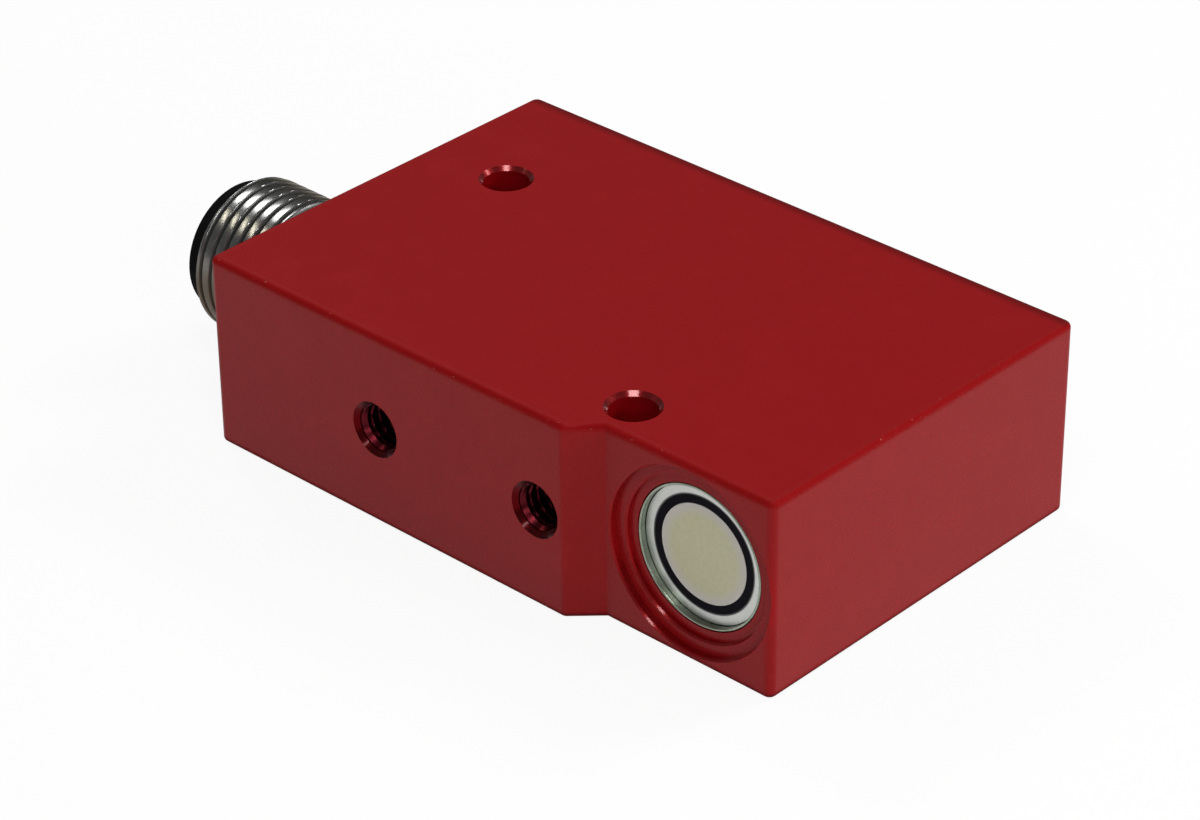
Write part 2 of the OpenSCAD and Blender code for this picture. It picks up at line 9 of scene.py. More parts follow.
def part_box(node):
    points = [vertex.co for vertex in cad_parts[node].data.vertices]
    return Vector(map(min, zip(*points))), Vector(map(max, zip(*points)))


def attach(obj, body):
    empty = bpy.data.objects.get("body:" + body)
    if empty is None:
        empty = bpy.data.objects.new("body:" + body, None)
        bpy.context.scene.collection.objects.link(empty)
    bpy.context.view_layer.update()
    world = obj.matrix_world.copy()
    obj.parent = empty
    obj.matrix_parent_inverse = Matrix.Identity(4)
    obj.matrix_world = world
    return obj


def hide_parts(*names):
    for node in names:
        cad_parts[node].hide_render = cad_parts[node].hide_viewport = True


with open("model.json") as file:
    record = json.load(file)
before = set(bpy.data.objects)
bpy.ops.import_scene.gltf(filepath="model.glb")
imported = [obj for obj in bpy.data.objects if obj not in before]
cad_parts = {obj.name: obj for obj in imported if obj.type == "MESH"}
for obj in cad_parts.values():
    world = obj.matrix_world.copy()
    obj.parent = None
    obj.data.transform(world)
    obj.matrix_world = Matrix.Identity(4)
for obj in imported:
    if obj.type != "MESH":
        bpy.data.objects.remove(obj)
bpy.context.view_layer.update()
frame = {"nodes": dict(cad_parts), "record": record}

mm = 0.001
white = (1.0, 1.0, 1.0)
print("frame loaded:", len(frame["nodes"]), "nodes")


def addObject(name, data):
    made = bpy.data.objects.new(name, data)
    bpy.context.scene.collection.objects.link(made)
    return made


def rotation(degrees, axis):
    return Matrix.Rotation(math.radians(degrees), 4, axis)


# Camera at the photograph's angle
cameraPlace = {
    "x": 166.449 * mm, "y": -175.989 * mm, "z": 150.759 * mm,
    "heading": 133.139,  # degrees from +X, seen from above
    "dip": 31.341,  # degrees below the horizon
    "roll": -0.545,
    "lens": 120.606, "sensor": 36,  # both in mm
    "near": 0.01, "far": 10,
}
cameraData = bpy.data.cameras.new("camera")
cameraData.sensor_fit = "HORIZONTAL"
cameraData.sensor_width = cameraPlace["sensor"]
cameraData.lens = cameraPlace["lens"]
cameraData.clip_start = cameraPlace["near"]
cameraData.clip_end = cameraPlace["far"]
camera = addObject("camera", cameraData)
camera.matrix_world = (
    Matrix.Translation((cameraPlace["x"], cameraPlace["y"], cameraPlace["z"]))
    @ rotation(cameraPlace["heading"] - 90, "Z")
    @ rotation(90 - cameraPlace["dip"], "X")
    @ rotation(cameraPlace["roll"], "Z")
)
bpy.context.scene.camera = camera
print("camera set")


# A node's output that can be used in arithmetic
class Value:
    def __init__(self, bench, socket):
        self.bench = bench
        self.socket = socket

    # Another output of the same node
    def out(self, name):
        return Value(self.bench, self.socket.node.outputs[name])

    def calculate(self, operation, *others):
        return self.bench.calculate(operation, self, *others)

    def __add__(self, other):
        return self.calculate("ADD", other)

    def __sub__(self, other):
        return self.calculate("SUBTRACT", other)

    def __rsub__(self, other):
        return self.bench.calculate("SUBTRACT", other, self)

    def __mul__(self, other):
        return self.calculate("MULTIPLY", other)

    def __truediv__(self, other):
        return self.calculate("DIVIDE", other)

    def __abs__(self):
        return self.calculate("ABSOLUTE")

    def __neg__(self):
        return self.calculate("MULTIPLY", -1.0)

    __radd__ = __add__
    __rmul__ = __mul__

    def low(self, other):
        return self.calculate("MINIMUM", other)

    def high(self, other):
        return self.calculate("MAXIMUM", other)

    # 0 below start, 1 above end, and smooth between them
    def rise(self, start, end):
        return self.bench.node("ShaderNodeMapRange", {0: self, 1: start, 2: end},
                               interpolation_type="SMOOTHSTEP")


# Adds nodes to one tree
class Bench:
    seedShift = (1.0, 0.37, 0.71)  # how a noise moves with its seed

    def __init__(self, tree):
        self.tree = tree

    # Links or sets one input
    def feed(self, socket, given):
        if isinstance(given, Value):
            self.tree.links.new(given.socket, socket)
        elif socket.type == "RGBA":
            socket.default_value = (*given, 1.0)
        else:
            socket.default_value = given

    def node(self, kind, inputs=None, out=0, **settings):
        made = self.tree.nodes.new(kind)
        for name, setting in settings.items():
            setattr(made, name, setting)
        for key, given in (inputs or {}).items():
            self.feed(made.inputs[key], given)
        return Value(self, made.outputs[out])

    # Last node of the tree
    def end(self, kind, name, given):
        self.feed(self.tree.nodes.new(kind).inputs[name], given)

    def calculate(self, operation, *terms):
        return self.node("ShaderNodeMath", dict(enumerate(terms)), operation=operation)

    # The three coordinates of a vector
    def split(self, vector):
        first = self.node("ShaderNodeSeparateXYZ", {0: vector})
        return first, first.out("Y"), first.out("Z")

    def noise(self, place, size, detail=2.0, roughness=0.6, seed=0.0):
        shift = tuple(seed * share for share in self.seedShift)
        moved = self.node("ShaderNodeMapping", {0: place, 1: shift})
        return self.node("ShaderNodeTexNoise", {
            "Vector": moved, "Scale": 1.0 / size, "Detail": detail, "Roughness": roughness})

    # The node's two colours are its inputs 6 and 7, and the mixed one is its output 2
    def mix(self, amount, colourA, colourB):
        return self.node("ShaderNodeMix", {0: amount, 6: colourA, 7: colourB}, out=2, data_type="RGBA")

    def bump(self, height, distance, strength):
        return self.node("ShaderNodeBump", {
            "Strength": strength, "Distance": distance, "Height": height})


# Material from a recipe that is given the bench and the object coordinates,
# and returns what goes into the shader's sockets
def finish(name, recipe, **fixed):
    material = bpy.data.materials.new(name)
    material.use_nodes = True
    bench = Bench(material.node_tree)
    shader = bench.tree.nodes["Principled BSDF"]
    place = bench.node("ShaderNodeTexCoord", out="Object")
    for socket, given in {**recipe(bench, place), **fixed}.items():
        bench.feed(shader.inputs[socket], given)
    return material


# Places from the frame
def middle(node):
    low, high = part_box(node)
    return (low + high) / 2


plugAxis = middle("connector_shell")
eyeAxis = middle("matching_layer")
plugCentre = (plugAxis.y, plugAxis.z)
eyeCentre = (eyeAxis.x, eyeAxis.z)
blockLow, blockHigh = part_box("housing")
mounts = {mount["name"]: mount for mount in frame["record"]["mounts"]}


def holePlace(name):
    return mounts[name]["pos_m"], mounts[name]["dims"]["r_mm"] * mm


# Red coat of the block, with painted shade, a deeper red, on its rounded edges, a fine grain, and a glossier
# skin where it lies thick on the upper sides of the rims of its holes and its recess.
# A fade is a start and an end: of a length, of a noise, or of how far a face tilts to an axis
redCoat = {
    "face": (0.250, 0.0056, 0.0072), "faceWorn": (0.275, 0.0078, 0.0092),
    "wornFade": (0.42, 0.72), "wornCloud": 0.5, "wornGrain": 0.7,
    "grain": 0.16 * mm, "grainHeight": 0.006 * mm, "grainStrength": 0.35,
    "cloud": 3.2 * mm, "ragged": 0.12 * mm,
    # The edge colour is painted shade: a deeper red on the rounded edges and, less, on the upright corners
    "edge": (0.235, 0.0008, 0.0016), "edgeShadeCover": 0.85, "cornerShare": 0.35,
    "edgeFade": (0.10 * mm, 0.72 * mm),
    "chip": (0.55, 0.25, 0.22), "chipCover": 0.7, "chipSize": 0.22 * mm, "chipFade": (0.74, 0.79),
    "roughness": 0.28, "roughnessGrain": 0.16, "edgeRoughness": 0.65, "specular": 0.11,
    "steepFade": (0.75, 0.9), "upwardFade": (0.25, 0.5),
    "skinRoughness": 0.12, "skinWeight": 0.75,
}

# Places where the coat's colour is changed: painted sheen on the recess rims, and painted shade on the hole
# rims, in the bores, along the foot of the block and along its rear edge
redPlaces = {
    "recessRim": (0.300, 0.0024, 0.0044), "recessSheenCover": 0.6, "recessMetal": 0.70,
    "recessSkin": 0.80, "recessRadius": 7.05 * mm, "recessEndFade": (0.01 * mm, 0.04 * mm),
    "holeRim": (0.180, 0.0012, 0.0030), "holeShadeCover": 0.92, "holeMetal": 0.60,
    "sideRim": (0.075, 0.0010, 0.0024), "sideShadeCover": 0.95, "sideMetal": 0.85, "sideSkin": 0.28,
    "rimReach": 0.35 * mm, "rimSoftness": 1.03,
    "bore": (0.260, 0.0012, 0.0035), "boreShadeCover": 0.7, "boreFade": (0.3 * mm, 1.2 * mm),
    "shade": (0.100, 0.0030, 0.0040), "rearCover": 0.85,
    "footFade": (0.15 * mm, 0.60 * mm), "footTilt": (0.8, 0.97),
    "rearFade": (0.30 * mm, 1.30 * mm), "rearTilt": (0.6, 0.9),
}
setBack = {"slope": (13.5 * mm, 15.6 * mm), "depth": 2.0 * mm}


# Distance from an axis, by the two coordinates across it
def distance(across, up):
    return (across * across + up * up).calculate("SQRT")


# 1 within reach of an axis, 0 beyond it, softly
def within(across, up, centre, reach):
    away = distance(across - centre[0], up - centre[1])
    return 1.0 - away.rise(reach, reach * redPlaces["rimSoftness"])


# Edges of the block, 1 on them and 0 away from them, with a ragged border. The sides, the
# step and the slope between them count as one wall. Also how far a point is from the
# block's two ends, and from its top or underside
def redEdges(x, y, z, cloud):
    front = blockLow.y + setBack["depth"] * x.rise(*setBack["slope"])
    alongX = (x - blockLow.x).low(blockHigh.x - x)
    alongY = (y - front).low(blockHigh.y - y)
    alongZ = (z - blockLow.z).low(blockHigh.z - z)
    toEdge = abs(alongX.low(alongY).high(alongZ))
    toCorner = abs(alongX.high(alongY))
    ragged = (cloud - 0.5) * redCoat["ragged"]
    edge = 1.0 - (toEdge + ragged).rise(*redCoat["edgeFade"])
    corner = 1.0 - (toCorner + ragged).rise(*redCoat["edgeFade"])
    return edge.high(corner * redCoat["cornerShare"]), alongX, alongZ


def redRecipe(bench, place):
    x, y, z = bench.split(place)
    grain = bench.noise(place, redCoat["grain"])
    cloud = bench.noise(place, redCoat["cloud"], detail=4.0, seed=1.3)
    edge, fromEnd, depth = redEdges(x, y, z, cloud)
    worn = cloud.rise(*redCoat["wornFade"]) * redCoat["wornCloud"] + (grain - 0.5) * redCoat["wornGrain"]
    chips = bench.noise(place, redCoat["chipSize"], detail=1.0, roughness=0.5, seed=4.1)
    chips = chips.rise(*redCoat["chipFade"]) * edge
    colour = bench.mix(worn.high(0.0), redCoat["face"], redCoat["faceWorn"])
    # Painted shade: the deeper red on the edges
    colour = bench.mix(edge * redCoat["edgeShadeCover"], colour, redCoat["edge"])
    colour = bench.mix(chips * redCoat["chipCover"], colour, redCoat["chip"])

    # Rims of the recess and of the holes
    _, tiltY, tiltZ = bench.split(bench.node("ShaderNodeTexCoord", out="Normal"))
    steepY = (1.0 - abs(tiltY).rise(*redCoat["steepFade"])) * y.calculate("LESS_THAN", 0.0)
    steepZ = 1.0 - abs(tiltZ).rise(*redCoat["steepFade"])
    upward = tiltZ.rise(*redCoat["upwardFade"])
    recess = within(x, z, eyeCentre, redPlaces["recessRadius"]) * steepY
    recess = recess * fromEnd.rise(*redPlaces["recessEndFade"])
    holeRim, sideRim, bore = 0.0, 0.0, 0.0
    for name in ("mount_hole_rear", "mount_hole_front"):
        (holeX, holeY, _), radius = holePlace(name)
        rim = within(x, y, (holeX, holeY), radius + redPlaces["rimReach"])
        holeRim = rim * steepZ + holeRim
        bore = within(x, y, (holeX, holeY), radius) * depth.rise(*redPlaces["boreFade"]) + bore
    for name in ("side_thread_a", "side_thread_b"):
        (holeX, _, holeZ), radius = holePlace(name)
        rim = within(x, z, (holeX, holeZ), radius + redPlaces["rimReach"])
        sideRim = rim * steepY + sideRim
    skin = (recess * redPlaces["recessSkin"] + holeRim + sideRim * redPlaces["sideSkin"]) * upward
    metal = (recess * upward * redPlaces["recessMetal"] + holeRim * upward * redPlaces["holeMetal"]
             + sideRim * redPlaces["sideMetal"])
    # Painted sheen: a lighter, deeper red on the recess rims, which also tints their metallic highlights
    colour = bench.mix(recess * redPlaces["recessSheenCover"], colour, redPlaces["recessRim"])
    # Painted shade: darker reds on the rims of the top holes and of the side holes
    colour = bench.mix(holeRim * redPlaces["holeShadeCover"], colour, redPlaces["holeRim"])
    colour = bench.mix(sideRim * redPlaces["sideShadeCover"], colour, redPlaces["sideRim"])
    # Painted shade: a deeper red down in the bores of the top holes
    colour = bench.mix(bore * redPlaces["boreShadeCover"], colour, redPlaces["bore"])

    # Painted shade along the foot of the sides and the rear edge of the top
    foot = 1.0 - (z - blockLow.z).rise(*redPlaces["footFade"])
    foot = foot * (1.0 - abs(tiltZ).rise(*redPlaces["footTilt"]))
    rear = 1.0 - (blockHigh.y - y).rise(*redPlaces["rearFade"])
    rear = rear * tiltZ.rise(*redPlaces["rearTilt"])
    colour = bench.mix(foot.high(rear * redPlaces["rearCover"]), colour, redPlaces["shade"])
    roughness = redCoat["roughness"] + (grain - 0.5) * redCoat["roughnessGrain"]
    return {"Base Color": colour, "Roughness": roughness + edge * redCoat["edgeRoughness"],
            "Specular IOR Level": redCoat["specular"], "Metallic": metal,
            "Coat Weight": skin * redCoat["skinWeight"], "Coat Roughness": redCoat["skinRoughness"],
            "Normal": bench.bump(grain, redCoat["grainHeight"], redCoat["grainStrength"])}


# Plated or bare metal with fine turning marks round an axis. A groove is dull and painted dark, as painted
# shade, where the radius falls below the crests of a thread, and the lower side is painted brown, duller and
# less metallic, as a painted dark reflection
metalLook = {
    "cloud": 1.4 * mm, "cloudShare": 0.6, "cloudRoughness": 0.12,
    "fine": 0.12 * mm, "fineShare": 0.4, "toneFade": (0.35, 0.7),
    "marks": 0.05 * mm, "marksHeight": 0.003 * mm, "marksStrength": 0.25, "marksRoughness": 0.08,
    "undersideLeast": 0.7, "undersideCloud": 0.5, "undersideRoughness": 0.25, "undersideOverGroove": 0.6,
    "grooveShadeCover": 0.9, "grooveRoughness": 0.3,
}


def metalRecipe(tone, dark, roughness, axis, centre=(0.0, 0.0), groove=None, paintedUnderside=None):
    def recipe(bench, place):
        parts = dict(zip("XYZ", bench.split(place)))
        along = parts.pop(axis)
        across = [part - shift for part, shift in zip(parts.values(), centre)]
        radius = distance(*across)
        marks = bench.noise(bench.node("ShaderNodeCombineXYZ", {0: radius, 1: along}), metalLook["marks"])
        cloud = bench.noise(place, metalLook["cloud"], detail=4.0, seed=2.2)
        fine = bench.noise(place, metalLook["fine"], seed=5.7)
        shading = cloud * metalLook["cloudShare"] + fine * metalLook["fineShare"]
        colour = bench.mix(shading.rise(*metalLook["toneFade"]), dark, tone)
        metal, undersideShade, shadedGroove = 1.0, 0.0, 0.0
        # Painted dark reflection on the lower side: brown, less metallic and duller
        if paintedUnderside:
            undersideShade = (metalLook["undersideLeast"] + cloud * metalLook["undersideCloud"]).low(1.0)
            undersideShade = (-across[1]).rise(*paintedUnderside["fade"]) * undersideShade
            metal = 1.0 - undersideShade * paintedUnderside["depth"]
            colour = bench.mix(undersideShade, colour, paintedUnderside["tone"])
        # Painted shade: grooves are darker, less metallic and duller
        if groove:
            shadedGroove = (1.0 - radius.rise(*groove["fade"])) * (1.0 - undersideShade * metalLook["undersideOverGroove"])
            metal = metal * (1.0 - shadedGroove * groove["depth"])
            colour = bench.mix(shadedGroove * metalLook["grooveShadeCover"], colour, groove["tone"])
        rough = (cloud - 0.5) * metalLook["cloudRoughness"] + (marks - 0.5) * metalLook["marksRoughness"]
        rough = rough + shadedGroove * metalLook["grooveRoughness"] + undersideShade * metalLook["undersideRoughness"]
        return {"Base Color": colour, "Metallic": metal, "Roughness": rough + roughness,
                "Normal": bench.bump(marks, metalLook["marksHeight"], metalLook["marksStrength"])}
    return recipe


# Moulded or cast surface with a soft cloud in its colour and a fine grain
mouldedLook = {
    "cloud": 1.6 * mm, "cloudShare": 0.65, "toneFade": (0.3, 0.7),
    "grain": 0.08 * mm, "grainShare": 0.35, "grainHeight": 0.004 * mm, "grainStrength": 0.4,
    "grainRoughness": 0.15,
}


def mouldedRecipe(tone, shade, roughness, **changes):
    look = {**mouldedLook, **changes}

    def recipe(bench, place):
        cloud = bench.noise(place, look["cloud"], detail=4.0, seed=3.3)
        grain = bench.noise(place, look["grain"])
        shading = cloud * look["cloudShare"] + grain * look["grainShare"]
        return {"Base Color": bench.mix(shading.rise(*look["toneFade"]), shade, tone),
                "Roughness": roughness + (grain - 0.5) * look["grainRoughness"],
                "Normal": bench.bump(grain, look["grainHeight"], look["grainStrength"])}
    return recipe


# Cream face of the transducer: greyer at its rim, with a faint mottled pattern of resin
creamFace = {
    "middle": (0.55, 0.54, 0.355), "speck": (0.50, 0.495, 0.33), "speckFade": (0.35, 0.65),
    "mottle": 0.35 * mm, "mottleShare": 0.7, "fine": 0.07 * mm, "fineShare": 0.3,
    "rim": (0.55, 0.53, 0.49), "rimFade": (0.72, 0.98),  # shares of the radius
    "roughness": 0.62, "fineRoughness": 0.2,
    "height": 0.006 * mm, "mottleHeight": 0.6, "fineHeight": 0.4, "strength": 0.5,
}


def creamRecipe(bench, place):
    x, _, z = bench.split(place)
    low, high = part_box("matching_layer")
    rimFade = [(high.x - low.x) / 2 * share for share in creamFace["rimFade"]]
    rim = distance(x - eyeCentre[0], z - eyeCentre[1]).rise(*rimFade)
    mottle = bench.noise(place, creamFace["mottle"], detail=3.0)
    fine = bench.noise(place, creamFace["fine"], roughness=0.5, seed=2.0)
    specks = (mottle * creamFace["mottleShare"] + fine * creamFace["fineShare"]).rise(*creamFace["speckFade"])
    colour = bench.mix(specks, creamFace["speck"], creamFace["middle"])
    height = mottle * creamFace["mottleHeight"] + fine * creamFace["fineHeight"]
    return {"Base Color": bench.mix(rim, colour, creamFace["rim"]),
            "Roughness": creamFace["roughness"] + (fine - 0.5) * creamFace["fineRoughness"],
            "Normal": bench.bump(height, creamFace["height"], creamFace["strength"])}


# Green lacquered board with copper tracks under the lacquer
greenBoard = {
    "lacquer": (0.02, 0.13, 0.05), "lacquerPale": (0.03, 0.17, 0.07), "track": (0.07, 0.26, 0.10),
    "tracksPerMetre": 420.0, "trackWidth": 0.06, "cloudy": (0.02, 0.10, 0.04), "cloudyCover": 0.35,
    "fine": 0.2 * mm, "roughness": 0.28, "fineRoughness": 0.15, "height": 0.004 * mm, "strength": 0.3,
}


def boardRecipe(bench, place):
    tracks = bench.node("ShaderNodeTexBrick", {
        "Vector": place, "Color1": greenBoard["lacquer"], "Color2": greenBoard["lacquerPale"],
        "Mortar": greenBoard["track"], "Scale": greenBoard["tracksPerMetre"],
        "Mortar Size": greenBoard["trackWidth"]})
    fine = bench.noise(place, greenBoard["fine"], roughness=0.55)
    return {"Base Color": bench.mix(fine * greenBoard["cloudyCover"], tracks, greenBoard["cloudy"]),
            "Roughness": greenBoard["roughness"] + fine * greenBoard["fineRoughness"],
            "Normal": bench.bump(fine, greenBoard["height"], greenBoard["strength"])}


# Finishes: a light and a dark tone, the roughness, and for metal the axis it is turned on
redMaterial = finish("redCoat", redRecipe)
# Nickel of the plug: painted shade in its grooves, and a painted dark reflection, brown, on its lower side
nickelMaterial = finish("platedNickel", metalRecipe(
    (0.36, 0.365, 0.36), (0.24, 0.245, 0.24), 0.22, "X", plugCentre,
    groove={"fade": (5.70 * mm, 5.885 * mm), "tone": (0.020, 0.021, 0.018), "depth": 0.85},
    paintedUnderside={"fade": (-3.5 * mm, 0.5 * mm), "tone": (0.115, 0.082, 0.052), "depth": 0.85}),
    **{"Specular Tint": (0.36, 0.34, 0.28)})
threadMaterial = finish("coatedThread", metalRecipe((0.12, 0.011, 0.017), (0.06, 0.005, 0.008), 0.30, "Y"))
# The dark band at the ring's inner edge is painted shade of the gap beside the black ring
ringMaterial = finish("turnedRing", metalRecipe(
    (0.63, 0.64, 0.615), (0.53, 0.54, 0.52), 0.44, "Y", eyeCentre,
    groove={"fade": (4.32 * mm, 4.42 * mm), "tone": (0.012, 0.011, 0.015), "depth": 0.9}))
sleeveMaterial = finish("thinSteel", metalRecipe(
    (0.34, 0.38, 0.31), (0.22, 0.26, 0.20), 0.28, "Y", eyeCentre))
screwMaterial = finish("screwSteel", metalRecipe((0.55, 0.55, 0.56), (0.38, 0.38, 0.39), 0.30, "Z"))
goldMaterial = finish("contactGold", metalRecipe(
    (0.83, 0.60, 0.26), (0.66, 0.46, 0.18), 0.22, "X", plugCentre))
brassMaterial = finish("bareBrass", metalRecipe(
    (0.68, 0.55, 0.28), (0.50, 0.38, 0.18), 0.32, "Y", eyeCentre))
canMaterial = finish("drawnCan", metalRecipe((0.62, 0.62, 0.63), (0.48, 0.48, 0.5), 0.3, "Z"))
insertMaterial = finish("blackInsert", mouldedRecipe((0.006, 0.006, 0.007), (0.003, 0.003, 0.003), 0.70),
                        **{"Specular IOR Level": 0.03})
rubberMaterial = finish("blackRubber", mouldedRecipe((0.006, 0.005, 0.009), (0.003, 0.003, 0.005), 0.70),
                        **{"Specular IOR Level": 0.06})
foamMaterial = finish("greyFoam", mouldedRecipe(
    (0.13, 0.13, 0.14), (0.07, 0.07, 0.08), 0.85,
    grain=0.25 * mm, cloud=1.0 * mm, grainHeight=0.03 * mm))
ceramicMaterial = finish("firedCeramic", mouldedRecipe((0.62, 0.60, 0.50), (0.50, 0.48, 0.40), 0.5))
chipMaterial = finish("mouldedChip", mouldedRecipe((0.035, 0.035, 0.038), (0.018, 0.018, 0.02), 0.55))
ferriteMaterial = finish("greyFerrite", mouldedRecipe((0.10, 0.095, 0.10), (0.05, 0.05, 0.055), 0.6))
wireMaterial = finish("wireCover", mouldedRecipe((0.30, 0.12, 0.05), (0.20, 0.08, 0.03), 0.45))
leadMaterial = finish("leadCover", mouldedRecipe((0.52, 0.50, 0.46), (0.40, 0.38, 0.35), 0.45))
tanMaterial = finish("tanBody", mouldedRecipe((0.34, 0.27, 0.18), (0.24, 0.19, 0.13), 0.5))
creamMaterial = finish("creamFace", creamRecipe)
boardMaterial = finish("greenBoard", boardRecipe)
print("finishes made:", len(bpy.data.materials))

# Which finish each solid gets
nodeFinish = {
    "housing": redMaterial, "bottom_cover": redMaterial, "cover_gasket": rubberMaterial,
    "cover_screws": screwMaterial, "connector_shell": nickelMaterial,
    "connector_insert": insertMaterial, "contact_pins": goldMaterial,
    "connector_seal": rubberMaterial, "connector_wires": wireMaterial,
    "transducer_sleeve": sleeveMaterial, "sleeve_seal": rubberMaterial,
    "lock_ring": brassMaterial, "face_ring": ringMaterial, "decoupling_ring": rubberMaterial,
    "matching_layer": creamMaterial, "piezo_disc": ceramicMaterial, "damping_foam": foamMaterial,
    "terminal_board": boardMaterial, "transducer_leads": leadMaterial,
    "circuit_board": boardMaterial, "board_screws": screwMaterial,
    "controller_chip": chipMaterial, "amplifier_chip": chipMaterial,
    "voltage_regulator": chipMaterial, "drive_transformer": ferriteMaterial,
    "storage_capacitor": canMaterial, "small_components": tanMaterial,
}
for node, material in nodeFinish.items():
    solid = frame["nodes"][node]
    if not solid.material_slots:
        solid.data.materials.append(material)
    for materialSlot in solid.material_slots:
        materialSlot.material = material


# New piece from a finished mesh, riding on the one body
def putPiece(name, mesh, material, node=None):
    piece = addObject(name, mesh)
    mesh.materials.clear()
    mesh.materials.append(material)
    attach(piece, "root")
    if node:
        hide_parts(node)


# Plain mesh of a helper object with its modifiers applied. The helper goes
def plainMesh(helper):
    graph = bpy.context.evaluated_depsgraph_get()
    mesh = bpy.data.meshes.new_from_object(helper.evaluated_get(graph))
    helper.modifiers.clear()
    bpy.data.objects.remove(helper)
    return mesh


# Smooth copies of the solids in view: the name of each and the width of its rounded edges
copies = {
    "housing": ("redBlock", 0.0), "bottom_cover": ("redCover", 0.0),
    "connector_insert": ("plugInsert", 0.05 * mm), "transducer_sleeve": ("eyeSleeve", 0.07 * mm),
    "face_ring": ("eyeRing", 0.0), "decoupling_ring": ("eyeDarkRing", 0.0),
    "matching_layer": ("eyeFace", 0.0),
}
copying = {"merge": 0.0005 * mm, "sharpAngle": 32, "roundAngle": 50, "roundSteps": 3, "faceWeight": 100}


# A copy has merged corners, and is smooth over its curves and flat on its faces
def smoothCopy(node, name, rounding):
    mesh = frame["nodes"][node].data.copy()
    mesh.name = name
    work = bmesh.new()
    work.from_mesh(mesh)
    bmesh.ops.remove_doubles(work, verts=work.verts, dist=copying["merge"])
    for face in work.faces:
        face.smooth = True
    for edge in work.edges:
        edge.smooth = edge.is_manifold and edge.calc_face_angle(0.0) < math.radians(copying["sharpAngle"])
    work.to_mesh(mesh)
    work.free()
    helper = addObject("helper", mesh)
    if rounding:
        bevel = helper.modifiers.new("bevel", "BEVEL")
        bevel.width = rounding
        bevel.segments = copying["roundSteps"]
        bevel.limit_method = "ANGLE"
        bevel.angle_limit = math.radians(copying["roundAngle"])
    weighted = helper.modifiers.new("weighted", "WEIGHTED_NORMAL")
    weighted.keep_sharp = True
    weighted.weight = copying["faceWeight"]
    putPiece(name, plainMesh(helper), nodeFinish[node], node)


for node, (name, rounding) in copies.items():
    smoothCopy(node, name, rounding)
print("smooth copies made:", len(copies))

# Thread surface: a grid rolled round the Z axis, whose radius follows the thread's profile.
# Its inputs have these sizes where a piece gives none
threadInputs = {
    "Float": {"Crest Radius": 5.9 * mm, "Root Radius": 5.3 * mm, "Pitch": 1.0 * mm,
              "Length": 7.0 * mm, "Start Radius": 5.1 * mm, "End Radius": 5.4 * mm,
              "Run Out": 0.5 * mm, "Groove Share": 0.42},
    "Int": {"Steps Round": 96, "Rows": 100},
    "Bool": {"Inside": False},
}
threadShape = {"crestCamber": 0.1, "mouthBlend": 0.12 * mm, "merge": 0.001 * mm}


def threadTree():
    tree = bpy.data.node_groups.new("threadSkin", "GeometryNodeTree")
    for kind, inputs in threadInputs.items():
        for name, usual in inputs.items():
            socket = tree.interface.new_socket(name, in_out="INPUT", socket_type="NodeSocket" + kind)
            socket.default_value = usual
    tree.interface.new_socket("Finish", in_out="INPUT", socket_type="NodeSocketMaterial")
    tree.interface.new_socket("Geometry", in_out="OUTPUT", socket_type="NodeSocketGeometry")
    bench = Bench(tree)
    given = bench.node("NodeGroupInput")
    grid = bench.node("GeometryNodeMeshGrid", {
        "Size X": 1.0, "Size Y": 1.0,
        "Vertices X": given.out("Steps Round"), "Vertices Y": given.out("Rows")})
    gridX, gridY, _ = bench.split(bench.node("GeometryNodeInputPosition"))
    turn = gridX + 0.5
    along = given.out("Length") * (gridY + 0.5)

    # Profile: 0 in the middle of the groove, and a slightly cambered crest
    phase = (along / given.out("Pitch") - turn).calculate("FRACT")
    offGroove = abs(phase - 0.5) * 2.0
    toCrest = 1.0 - offGroove
    height = 1.0 - toCrest * toCrest * threadShape["crestCamber"]
    height = height * offGroove.rise(0.0, given.out("Groove Share"))
    crest, root = given.out("Crest Radius"), given.out("Root Radius")
    threaded = root + (crest - root) * height

    # Cones at both ends
    fromStart = ((gridY + 0.5) * given.out("Length") / given.out("Run Out")).low(1.0)
    fromEnd = ((0.5 - gridY) * given.out("Length") / given.out("Run Out")).low(1.0)
    startRadius, endRadius = given.out("Start Radius"), given.out("End Radius")
    coneStart = startRadius + (crest - startRadius) * fromStart
    coneEnd = endRadius + (crest - endRadius) * fromEnd
    outside = threaded.calculate("SMOOTH_MIN", coneStart, threadShape["mouthBlend"]).low(coneEnd)
    inside = threaded.high(coneStart).high(coneEnd)
    radius = bench.node("GeometryNodeSwitch", {0: given.out("Inside"), 1: outside, 2: inside},
                        input_type="FLOAT")

    angle = turn * (2 * math.pi)
    place = bench.node("ShaderNodeCombineXYZ", {
        0: radius * angle.calculate("COSINE"), 1: radius * angle.calculate("SINE"), 2: along})
    rolled = bench.node("GeometryNodeSetPosition", {"Geometry": grid, "Position": place})
    closed = bench.node("GeometryNodeMergeByDistance", {
        "Geometry": rolled, "Distance": threadShape["merge"]})
    whole = bench.node("GeometryNodeRealizeInstances", {"Geometry": closed})
    coated = bench.node("GeometryNodeSetMaterial", {
        "Geometry": whole, "Material": given.out("Finish")})
    bench.end("NodeGroupOutput", "Geometry", coated)
    return tree


threadSkin = threadTree()


# Thread surface as a plain mesh along its own Z axis
def threadMesh(name, sizes):
    helper = addObject(name, bpy.data.meshes.new(name))
    modifier = helper.modifiers.new("thread", "NODES")
    modifier.node_group = threadSkin
    for item in threadSkin.interface.items_tree:
        if item.in_out == "INPUT" and item.name in sizes:
            modifier[item.identifier] = sizes[item.name]
    helper.data.update()
    return plainMesh(helper)


# Adds the turned rest of a piece to its thread, and puts it on its axis.
# The mouth, up to mouthEnd, is smooth over its chamfer
turning = {"merge": 0.002 * mm, "sharpAngle": 30, "mouthAngle": 70}


